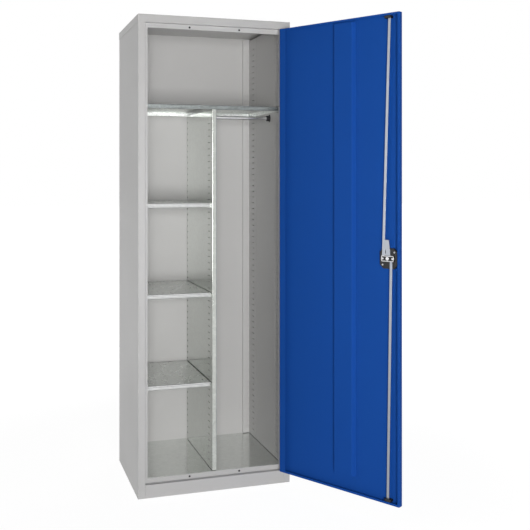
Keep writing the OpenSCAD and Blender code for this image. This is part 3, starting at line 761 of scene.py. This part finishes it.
sheetFold = {"outer": 1.9 * mm, "inner": 0.9 * mm, "thin": 1.3 * mm}
for node in ("left_side_panel", "right_side_panel", "top_panel", "header_rail", "plinth_rail",
        "floor_panel", "anchor_plates"):
    softened(node, "greyEnamel", **sheetFold)
softened("floor_bearer", "brightZinc", **sheetFold)
softened("door_panel", "blueEnamel", **sheetFold)
print("panels rounded")

# door stiffener: a wide folded channel, drawn on the closed door and turned with it

stiffenerSet = {
    "fromHinge": 303 * mm, "foot": 95 * mm, "face": 79 * mm, "rise": 15 * mm, "flange": 8 * mm,
    "bend": 2.2 * mm,
}


def makeStiffener():
    s = stiffenerSet
    bottom, top = edgeOf("door_stiffener", low, 2), edgeOf("door_stiffener", high, 2)
    skin = lockMiddle.y + sheet
    middle = hingePlace.x - s["fromHinge"]
    foot, face, rise = s["foot"] / 2, s["face"] / 2, s["rise"] - sheet
    edge = foot + s["flange"]
    profile = [(-edge, 0), (-foot, 0), (-face, rise), (face, rise), (foot, 0), (edge, 0)]
    line = [onDoor((middle + along, skin + out, bottom)) for along, out in profile]
    mesh = folded("stiffenerChannel", line, (0, 0, top - bottom), "blueEnamel", s["bend"])
    addPiece("stiffenerChannel", mesh, "blueEnamel", "door_stiffener")


makeStiffener()
print("stiffener folded")

# base plate: a flat sheet whose rear edge runs in between the corner flanges up to the back

plateSet = {"tongueIn": 29.2 * mm, "backGap": 0.3 * mm, "edge": 0.3 * mm}


def makeBasePlate():
    (x0, front, bottom), (x1, back, top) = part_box("base_plate")
    rear = edgeOf("divider", high, 1) - plateSet["backGap"]
    neck = x1 - plateSet["tongueIn"]
    outline = [(x0, front), (x1, front), (x1, back), (neck, back), (neck, rear), (-neck, rear),
        (-neck, back), (x0, back)]
    rings = [[(x, y, z) for x, y in outline] for z in (bottom, top)]
    piece = newObject("basePlate", stackedMesh("basePlate", rings))
    rim = piece.modifiers.new("rim", "BEVEL")
    rim.width = plateSet["edge"]
    rim.segments = 2
    smoothOver(dress(piece, "plateZinc", "base_plate"))


makeBasePlate()
print("base plate laid")

# small solid parts with rounded edges: node, finish, outer and inner radius in mm
smallParts = [
    ("lock_rose", "blackPlastic", 1.4, 0.4), ("turning_knob", "blackPlastic", 1.8, 1.0),
    ("upper_rod_guide", "blackPlastic", 0.6, 0.3), ("lower_rod_guide", "blackPlastic", 0.6, 0.3),
    ("key_plug", "nickel", 0.35, 0.15), ("spindle", "plate", 0.4, 0.3),
    ("upper_rod", "rodSteel", 0.4, 0.3), ("lower_rod", "rodSteel", 0.4, 0.3),
    ("rail_sockets", "blackPlastic", 0.7, 0.6), ("hanging_rail", "railSteel", 0.4, 0.2),
    ("hinge_frame_leaves", "greyEnamel", 0.3, 0.2), ("hinge_door_leaves", "blueEnamel", 0.3, 0.2),
    ("hinge_pins", "plate", 0.5, 0.2), ("shelf_clips", "brightZinc", 0.4, 0.2),
]
for node, finish, outer, inner in smallParts:
    softened(node, finish, outer * mm, inner * mm, segments=2)
print("small parts rounded:", len(smallParts))

# plates of the lock, built up from an outline on the closed door; depths are behind its face

lockSet = {
    "caseWidth": 73 * mm, "caseHeight": 74 * mm, "caseCut": 14 * mm,
    "caseDepth": (1 * mm, 9 * mm), "caseRim": 1.6 * mm, "panelIn": 6 * mm, "panelRise": 0.5 * mm,
    "camRadius": 26 * mm, "camHalf": 10.5 * mm, "camDepth": (14 * mm, 16.5 * mm),
    "camRim": 0.5 * mm, "pocketIn": 2.4 * mm, "pocketDepth": 0.8 * mm, "pocketSlope": 0.4 * mm,
    "inlayGap": 0.1 * mm, "inlaySunk": 0.3 * mm, "inlayUnder": 0.2 * mm, "inlayRim": 0.2 * mm,
}


# a convex outline, drawn counter-clockwise, moved inwards by a distance
def insetOutline(outline, distance):
    moved = []
    for k, here in enumerate(outline):
        into = (Vector(here) - Vector(outline[k - 1])).normalized()
        out = (Vector(outline[(k + 1) % len(outline)]) - Vector(here)).normalized()
        inward = Vector((-into.y - out.y, into.x + out.x)).normalized()
        moved.append(Vector(here) + inward * (distance / inward.dot(Vector((-into.y, into.x)))))
    return moved


# a closed plate round the lock's axis, from (inset, depth) pairs
def addPlate(name, outline, profile, finish, *names, **ties):
    rings = [[onDoor((lockMiddle.x + x, lockMiddle.y + depth, lockMiddle.z + z))
        for x, z in insetOutline(outline, inset)] for inset, depth in profile]
    addPiece(name, stackedMesh(name, rings), finish, *names, **ties)


def roundRim(depth, rim, steps=4):
    turns = [quarterTurn * k / steps for k in range(steps + 1)]
    return [(rim * (1 - math.cos(a)), depth - rim * (1 - math.sin(a))) for a in turns]


def makeLockPlates():
    s = lockSet
    w, h, c = s["caseWidth"] / 2, s["caseHeight"] / 2, s["caseCut"]
    cut = [(w, h - c), (w - c, h), (c - w, h), (-w, h - c), (-w, c - h), (c - w, -h), (w - c, -h),
        (w, c - h)]
    foot, top = s["caseDepth"]
    profile = [(0, foot)] + roundRim(top, s["caseRim"]) + [(s["panelIn"], top),
        (s["panelIn"] + s["panelRise"], top + s["panelRise"])]
    addPlate("lockCase", cut, profile, "blackPlastic", "lock_case")
    r = s["camRadius"]
    reach = math.asin(s["camHalf"] / r)
    arc = [(r * math.cos(a), r * math.sin(a)) for a in (reach * (k / 4 - 1) for k in range(9))]
    oval = arc + [(-x, -z) for x, z in arc]
    foot, top = s["camDepth"]
    floorIn, floor = s["pocketIn"] + s["pocketSlope"], top - s["pocketDepth"]
    profile = [(0, foot)] + roundRim(top, s["camRim"], 3) + [(s["pocketIn"], top), (floorIn, floor)]
    addPlate("camPlate", oval, profile, "plate", "cam_plate")
    inset = floorIn + s["inlayGap"]
    rim = roundRim(top - s["inlaySunk"], s["inlayRim"], 2)
    profile = [(inset, floor - s["inlayUnder"])] + [(inset + x, depth) for x, depth in rim]
    addPlate("camInlay", oval, profile, "blackPlastic", body=bodyOf["cam_plate"],
        slot=slotOf["lock_case"])


makeLockPlates()
print("lock plates built")

# fasteners, turned on a lathe and set on the places of the solid ones

# revolves (radius, height) pairs about Z; radius 0 closes a pole
def latheMesh(name, profile, steps=28):
    verts, faces, rings = [], [], []
    for radius, height in profile:
        start = len(verts)
        if radius == 0:
            verts.append((0, 0, height))
            rings.append([start] * steps)
            continue
        for k in range(steps):
            angle = math.tau * k / steps
            verts.append((radius * math.cos(angle), radius * math.sin(angle), height))
        rings.append(list(range(start, start + steps)))
    for below, above in zip(rings, rings[1:]):
        for k in range(steps):
            n = (k + 1) % steps
            face = list(dict.fromkeys((below[k], below[n], above[n], above[k])))
            if len(face) > 2:
                faces.append(face)
    return outwardMesh(newMesh(name, verts, faces=faces))


def domeProfile(radius, height, foot, steps=5):
    turns = [quarterTurn * k / steps for k in range(steps)]
    dome = [(radius * math.cos(a), foot + height * math.sin(a)) for a in turns]
    return dome + [(0, foot + height)]


# crossed bar that a driver recess is cut with
def crossCutter(name, span, width, z0, z1):
    work = bmesh.new()
    for turn in (0, quarterTurn):
        box = bmesh.ops.create_cube(work, size=1.0)
        place = Matrix.Translation((0, 0, (z0 + z1) / 2)) @ Matrix.Rotation(turn, 4, "Z") @ \
            Matrix.Diagonal((span, width, z1 - z0, 1))
        bmesh.ops.transform(work, matrix=place, verts=box["verts"])
    return meshOf(name, work)


def cutAway(name, mesh, cutter):
    body, tool = newObject(name, mesh), newObject(name + "Cutter", cutter)
    cut = body.modifiers.new("cut", "BOOLEAN")
    cut.operation = "DIFFERENCE"
    cut.solver = "EXACT"
    cut.use_self = True
    cut.object = tool
    plain = evaluatedMesh(body)
    bpy.data.objects.remove(tool)
    return plain


# shares of the head's radius or height, and of the shank's radius
screwSet = {
    "tip": 0.7, "tipRise": 0.5, "foot": 0.97, "footRise": 0.1, "edge": 0.45, "edgeSteps": 4,
    "crossSpan": 1.15, "crossWidth": 0.26, "crossFloor": 0.35, "crossTop": 1.4,
}


# a pan head on a shank, with a cross recess; its base lies at height 0
def crossScrew(name, head, rise, shank, length):
    s = screwSet
    rim, steps = rise * (1 - s["edge"]), s["edgeSteps"]
    profile = [(0, -length), (shank * s["tip"], -length), (shank, -length + shank * s["tipRise"]),
        (shank, 0), (head * s["foot"], 0), (head, rise * s["footRise"]), (head, rise * s["edge"])]
    pan = [(head - rim * (1 - math.cos(a)), rise * s["edge"] + rim * math.sin(a))
        for a in (quarterTurn * k / steps for k in range(1, steps + 1))]
    solid = latheMesh(name, profile + pan + [(0, rise)])
    cutter = crossCutter(name + "Cross", head * s["crossSpan"], head * s["crossWidth"],
        rise * s["crossFloor"], rise * s["crossTop"])
    return cutAway(name, solid, cutter)


# loose parts of a node: the middle and the half size of each
def islandsOf(node):
    work = weldedCopy(node)
    left, found = set(work.verts), []
    while left:
        queue, part = [left.pop()], []
        while queue:
            vert = queue.pop()
            part.append(vert.co.copy())
            for edge in vert.link_edges:
                other = edge.other_vert(vert)
                if other in left:
                    left.remove(other)
                    queue.append(other)
        lows = Vector([min(co[k] for co in part) for k in range(3)])
        highs = Vector([max(co[k] for co in part) for k in range(3)])
        found.append(((lows + highs) / 2, (highs - lows) / 2))
    work.free()
    return sorted(found, key=lambda item: [round(item[0][k], 4) for k in (2, 0, 1)])


def middlesOf(node):
    return [middle for middle, half in islandsOf(node)]


# places are (point, aim) pairs
def setFasteners(name, shape, places, finish, seed, *names, **ties):
    points = newMesh(name + "Places", [point for point, aim in places])
    attribute = points.attributes.new("aim", "FLOAT_VECTOR", "POINT")
    for k, (point, aim) in enumerate(places):
        attribute.data[k].vector = aim
    sample = newObject(name + "Sample", shape)
    mesh = throughTrees(name, points,
        [(fastenersAt, {"Fastener": sample, "Seed": seed, "Finish": finishes[finish]})])
    bpy.data.objects.remove(sample)
    addPiece(name, mesh, finish, *names, angle=smoothSet["fastenerAngle"], **ties)


rivetSet = {"head": 4.5 * mm, "rise": 1.5 * mm, "foot": 0.1 * mm, "shank": 2.5 * mm,
    "grip": 2 * mm, "tail": 3.5 * mm, "tailRise": 1.2 * mm, "seed": 11,
    "hollow": ((0.24, 0.98), (0.2, 0.4), (0, 0.35)),      # shares of the head and its rise
    "upset": ((0, 1), (0.6, 1), (1, 0.5), (0.9, 0))}      # shares of the tail and its rise


# blind rivets: a domed head with the hollow of its broken pin, and the upset tail behind
def makeRivets():
    s = rivetSet
    head, rise, tail, grip, end = s["head"], s["rise"], s["tail"], s["grip"], s["tailRise"]
    profile = [(tail * x, -grip - end * y) for x, y in s["upset"]]
    profile += [(s["shank"], -grip), (s["shank"], 0), (head, 0)]
    dome = domeProfile(head, rise, s["foot"], 6)[:-2]
    hollow = [(head * x, rise * y) for x, y in s["hollow"]]
    places = []
    for middle in middlesOf("hat_shelf_rivets"):
        side = 1 if middle.x > 0 else -1
        places.append(((side * (wallX - sheet), middle.y, middle.z), (-side, 0, 0)))
    setFasteners("shelfRivets", latheMesh("shelfRivet", profile + dome + hollow), places, "plate",
        s["seed"], "hat_shelf_rivets")


makeRivets()

# head radius and height, shank radius and length of each screw
railScrewSet = {"size": (2.6 * mm, 1.3 * mm, 1.45 * mm, 7 * mm), "headIn": 1.2 * mm, "seed": 5}


def makeRailScrews():
    sockets = middlesOf("rail_sockets")
    middleX = sum(middle.x for middle in sockets) / len(sockets)
    places = []
    for middle, half in islandsOf("rail_screws"):
        inward = 1 if middle.x < middleX else -1
        headX = middle.x + inward * (half.x - railScrewSet["headIn"])
        places.append(((headX, middle.y, middle.z), (inward, 0, 0)))
    setFasteners("railScrewHeads", crossScrew("railScrew", *railScrewSet["size"]), places, "plate",
        railScrewSet["seed"], "rail_screws")


makeRailScrews()

lockScrewSet = {
    "case": (3.1 * mm, 1.0 * mm, 1.6 * mm, 9 * mm), "caseSeed": 23,
    "cam": (6.6 * mm, 1.5 * mm, 1.9 * mm, 4.5 * mm), "camSeed": 3,
    "pinHead": 4.0 * mm, "pinRise": 1.3 * mm, "pinFoot": 0.1 * mm, "pinShank": 3.0 * mm,
    "pinLength": 7 * mm, "pinBevel": 0.3 * mm, "pinSeed": 9,
}


# where fasteners of the lock stand, with their heads at a depth behind the door's face
def lockPlaces(node, depth):
    middles = [offDoor(middle) for middle in middlesOf(node)]
    return [(onDoor((middle.x, lockMiddle.y + depth, middle.z)), -lockAxis) for middle in middles]


def makeLockScrews():
    s = lockScrewSet
    caseBack, camBack = lockSet["caseDepth"][1], lockSet["camDepth"][1]
    setFasteners("caseScrewHeads", crossScrew("caseScrew", *s["case"]),
        lockPlaces("case_screws", caseBack), "plate", s["caseSeed"], "case_screws")
    setFasteners("camScrewHead", crossScrew("camScrew", *s["cam"]),
        lockPlaces("cam_plate", camBack), "plate", s["camSeed"], "cam_screw")
    shank, end, bevel = s["pinShank"], -s["pinLength"], s["pinBevel"]
    profile = [(0, end), (shank - bevel, end), (shank, end + bevel), (shank, 0), (s["pinHead"], 0)]
    pin = latheMesh("camPin", profile + domeProfile(s["pinHead"], s["pinRise"], s["pinFoot"]))
    setFasteners("camPinHeads", pin, lockPlaces("cam_pins", camBack), "plate", s["pinSeed"],
        "cam_pins")


makeLockScrews()

bufferSet = {"radius": 4 * mm, "rise": 0.8 * mm, "neck": 2.3 * mm, "plug": 3.4 * mm,
    "length": 3.2 * mm, "plugAt": 1.4 * mm, "barb": 1.1 * mm, "nose": 1.84 * mm, "seed": 2,
    "crown": ((1, 0.55), (0.86, 1), (0.3, 1), (0, 0.7))}      # shares of the radius and the rise


# rubber button: low crown in front of the strip, neck through its hole, barb behind
def makeBuffers():
    b = bufferSet
    radius, rise, neck = b["radius"], b["rise"], b["neck"]
    profile = [(0, -b["length"]), (b["nose"], -b["length"]), (b["plug"], -b["plugAt"]),
        (neck, -b["barb"]), (neck, 0), (radius, 0)]
    profile += [(radius * x, rise * y) for x, y in b["crown"]]
    strip = edgeOf("door_buffers", low, 1) + rise
    places = [((middle.x, strip, middle.z), (0, -1, 0)) for middle in middlesOf("door_buffers")]
    setFasteners("bufferButtons", latheMesh("buffer", profile, 24), places, "rubber", b["seed"],
        "door_buffers")


makeBuffers()

weldSet = {
    "radius": 2.6 * mm, "ridge": 0.14 * mm, "root": 0.2 * mm, "pitch": 120 * mm,
    "ring": ((1, 0.3), (0.84, 1), (0.7, 0.35), (0, 0.2)),     # shares of the radius and the ridge
    "bodyIn": 13 * mm, "bodyFrom": 90 * mm, "bodyTo": 1760 * mm, "bodySeed": 31,
    "doorOut": 4.5 * mm, "doorMargin": 30 * mm, "doorSeed": 37,
}


# marks that spot welding leaves, along a line between two points
def weldRow(start, end, aim):
    count = max(2, round((Vector(end) - Vector(start)).length / weldSet["pitch"]))
    return [(Vector(start).lerp(Vector(end), (k + 0.5) / count), aim) for k in range(count)]


def makeWelds():
    w = weldSet
    profile = [(0, -w["root"]), (w["radius"], -w["root"])]
    profile += [(w["radius"] * x, w["ridge"] * y) for x, y in w["ring"]]
    shape = latheMesh("weldMark", profile, 16)
    rearY = edgeOf("left_side_panel", high, 1)
    (x0, y0, bottom), (x1, y1, top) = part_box("door_stiffener")
    centre = offDoor(((x0 + x1) / 2, (y0 + y1) / 2, (bottom + top) / 2))
    skin = lockMiddle.y + 2 * sheet
    bodyRows, doorRows = [], []
    for side in (-1, 1):
        x = side * (edgeOf("top_panel", high, 0) - w["bodyIn"])
        bodyRows += weldRow((x, rearY, w["bodyFrom"]), (x, rearY, w["bodyTo"]), (0, 1, 0))
        x = centre.x + side * (stiffenerSet["foot"] / 2 + w["doorOut"])
        doorRows += weldRow(onDoor((x, skin, bottom + w["doorMargin"])),
            onDoor((x, skin, top - w["doorMargin"])), -lockAxis)
    setFasteners("carcassWelds", shape, bodyRows, "greyEnamel", w["bodySeed"],
        body="carcass", slot=slotOf["back_panel"])
    setFasteners("doorWelds", shape, doorRows, "blueEnamel", w["doorSeed"],
        body="door", slot=slotOf["door_panel"])


makeWelds()

# only the back panel is seen as its plain solid, the flat sheet that it is
for solid in nodes.values():
    solid.data.materials.clear()
    solid.data.materials.append(finishes["greyEnamel"])

# floor, light and camera

studio = {
    "world": 0.03,                     # level of the surrounding light
    "floorColor": (0.90, 0.90, 0.90, 1), "floorRough": 0.9, "floorSpecular": 0.1, "floorHalf": 30.0,
    "glow": 1.11, "glowNear": 0.85,    # how white the floor is seen, and its share close by
    "fadeFrom": 0.9, "fadeTo": 2.6,    # where that share rises to all, in metres from the middle
}
# power, size, place and aim; the last one is for the views from behind
lamps = {
    "frontLamp": (168.0, 1.5, (-0.8, -4.8, 1.0), (0, 0, 0.95)),
    "sideLamp": (32.0, 2.4, (-5.0, 0.7, 1.3), (0, 0, 0.95)),
    "overheadLamp": (12.0, 3.2, (0.2, -0.9, 4.4), (0.1, -0.4, 0)),
    "rearLamp": (70.0, 3.0, (2.6, 4.2, 2.2), (0.2, 0, 0.9)),
}


# white where the camera, gloss or glass looks, and a plain level elsewhere
def rayMask(tree):
    path = addNode(tree, "ShaderNodeLightPath").outputs
    seen = maths(tree, "MAXIMUM", path["Is Camera Ray"], path["Is Glossy Ray"])
    return maths(tree, "MAXIMUM", seen, path["Is Transmission Ray"])


def makeWorld():
    world = bpy.data.worlds.new("studioWorld")
    world.use_nodes = True
    bpy.context.scene.world = world
    tree = world.node_tree
    level = ranged(tree, rayMask(tree), 0.0, 1.0, studio["world"])
    setInputs(tree, tree.nodes["Background"], {"Color": (1, 1, 1, 1), "Strength": level})


def makeFloor():
    half = studio["floorHalf"]
    corners = [(-half, -half, 0), (half, -half, 0), (half, half, 0), (-half, half, 0)]
    floor = newObject("studioFloor", newMesh("studioFloor", corners, faces=[(0, 1, 2, 3)]))
    tree, shader, place = newMaterial("studioFloor")
    setInputs(tree, shader, {"Base Color": studio["floorColor"],
        "Roughness": studio["floorRough"], "Specular IOR Level": studio["floorSpecular"]})
    glow = addNode(tree, "ShaderNodeEmission", {"Color": (1, 1, 1, 1), "Strength": studio["glow"]})
    away = addNode(tree, "ShaderNodeVectorMath", {0: place}, operation="LENGTH").outputs["Value"]
    fade = ranged(tree, away, studio["fadeFrom"], studio["fadeTo"], studio["glowNear"],
        interpolation_type="SMOOTHSTEP")
    share = product(tree, rayMask(tree), fade)
    mixed = addNode(tree, "ShaderNodeMixShader",
        {0: share, 1: shader.outputs[0], 2: glow.outputs[0]})
    setInputs(tree, tree.nodes["Material Output"], {"Surface": mixed.outputs[0]})
    floor.data.materials.append(finishes["studioFloor"])


def areaLight(name, power, size, place, aim):
    lamp = bpy.data.lights.new(name, "AREA")
    lamp.energy = power
    lamp.size = size
    holder = newObject(name, lamp)
    holder.location = place
    holder.rotation_euler = (Vector(aim) - Vector(place)).to_track_quat("-Z", "Y").to_euler()


makeWorld()
makeFloor()
for name, settings in lamps.items():
    areaLight(name, *settings)

cameraSet = {
    "place": (-0.861, -3.366, 1.219),
    "yaw": 17.47,                # degrees to the right of +Y, held level
    "focal": 839.7,              # in pixels of the 530 pixel frame
    "centre": (247.2, 175.7),    # where the lens axis meets the frame, in pixels
    "frameSize": 530.0, "sensor": 36.0, "near": 0.05, "far": 200.0,
}


def makeCamera():
    c = cameraSet
    lens = bpy.data.cameras.new("photoCamera")
    size = c["frameSize"]
    lens.sensor_width = c["sensor"]
    lens.lens = c["focal"] / size * c["sensor"]
    lens.shift_x = (size / 2 - c["centre"][0]) / size
    lens.shift_y = (c["centre"][1] - size / 2) / size
    lens.clip_start = c["near"]
    lens.clip_end = c["far"]
    camera = newObject("photoCamera", lens)
    camera.location = c["place"]
    camera.rotation_euler = (quarterTurn, 0, -math.radians(c["yaw"]))
    bpy.context.scene.camera = camera


makeCamera()
bpy.context.scene.view_settings.view_transform = "Standard"
